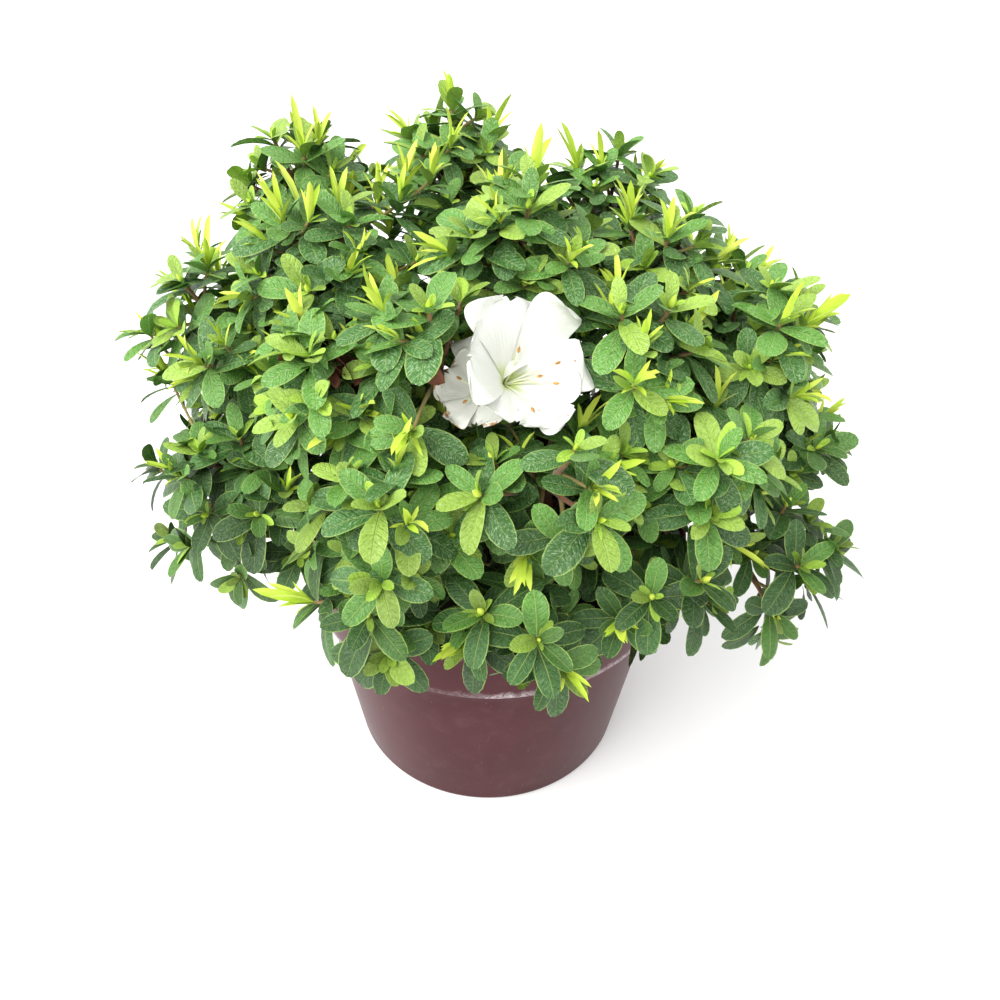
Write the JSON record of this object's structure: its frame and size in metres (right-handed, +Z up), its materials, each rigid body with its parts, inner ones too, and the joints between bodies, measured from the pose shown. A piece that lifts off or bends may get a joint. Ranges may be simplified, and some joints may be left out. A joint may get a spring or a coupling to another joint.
{
  "type": "potted azalea shrub",
  "caption": "Small evergreen shrub in a round nursery pot: short forked trunk, boughs that end in leafy sprays, and two white funnel-shaped flowers on one stalk.",
  "frame": {"origin": "middle of the pot's flat underside, on the floor", "axes": "+Z up along the pot's axis, -Y towards the front of the shrub, where the flowers are, and +X to the right as seen from the front"},
  "size_m": [0.3984, 0.3483, 0.3799],
  "materials": {
    "pot_plastic": "matte burgundy plastic, lightly scuffed",
    "soil": "rough, dark bark-based potting soil",
    "bark": "rough grey-brown bark, orange-brown on young wood",
    "foliage": "satin leaves, dark to fresh green",
    "petals": "soft white petals"
  },
  "bodies": {
    "root": {"pot": "pot_plastic", "soil": "soil", "trunk": "bark", "bough_front_right": "bark", "bough_back_left": "bark", "bough_front_left": "bark", "bough_back_right": "bark", "bough_shoulder_left": "bark", "bough_front_middle": "bark", "bough_shoulder_right": "bark", "bough_crown_back_left": "bark", "bough_crown_back_right": "bark", "bough_crown_middle": "bark", "bough_crown_back": "bark", "bough_crown_left": "bark", "bough_crown_right": "bark", "bough_shoulder_front_left": "bark", "bough_shoulder_front": "bark", "bough_shoulder_front_right": "bark", "bough_skirt_left": "bark", "bough_skirt_front_left": "bark", "bough_skirt_front": "bark", "bough_skirt_front_right": "bark", "bough_skirt_far_right": "bark", "bough_skirt_right": "bark", "bough_back_middle": "bark", "bough_skirt_back_right": "bark", "bough_skirt_back": "bark", "bough_skirt_back_left": "bark", "bough_skirt_far_left": "bark", "bough_white_flowers": "bark", "foliage_front_right": "foliage", "foliage_back_left": "foliage", "foliage_front_left": "foliage", "foliage_back_right": "foliage", "foliage_shoulder_left": "foliage", "foliage_front_middle": "foliage", "foliage_shoulder_right": "foliage", "foliage_crown_back_left": "foliage", "foliage_crown_back_right": "foliage", "foliage_crown_middle": "foliage", "foliage_crown_back": "foliage", "foliage_crown_left": "foliage", "foliage_crown_right": "foliage", "foliage_shoulder_front_left": "foliage", "foliage_shoulder_front": "foliage", "foliage_shoulder_front_right": "foliage", "foliage_skirt_left": "foliage", "foliage_skirt_front_left": "foliage", "foliage_skirt_front": "foliage", "foliage_skirt_front_right": "foliage", "foliage_skirt_far_right": "foliage", "foliage_skirt_right": "foliage", "foliage_back_middle": "foliage", "foliage_skirt_back_right": "foliage", "foliage_skirt_back": "foliage", "foliage_skirt_back_left": "foliage", "foliage_skirt_far_left": "foliage", "white_flowers": "petals"}
  },
  "joints": []
}
